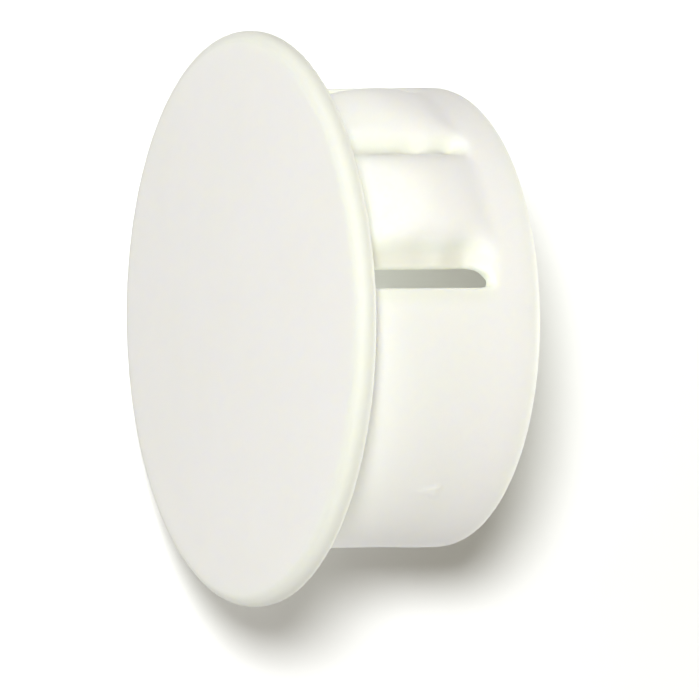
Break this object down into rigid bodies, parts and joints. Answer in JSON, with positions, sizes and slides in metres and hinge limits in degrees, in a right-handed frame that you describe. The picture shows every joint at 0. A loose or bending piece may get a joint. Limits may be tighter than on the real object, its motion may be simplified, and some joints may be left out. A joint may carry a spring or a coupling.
{
  "type": "hole plug",
  "caption": "Snap-in plastic plug for a round panel hole: a thin crowned disc head over a hollow barrel with springy lobed snap tongues between slots.",
  "frame": {"origin": "centre of the barrel's open end, on the surface that the plug stands on", "axes": "+Z along the plug's axis from the open end to the head; +X through the middle of one snap tongue"},
  "size_m": [0.0314, 0.0314, 0.0128],
  "materials": {
    "nylon": "natural ivory nylon, as moulded, satin"
  },
  "bodies": {
    "root": {"hole_plug": "nylon"}
  },
  "joints": []
}
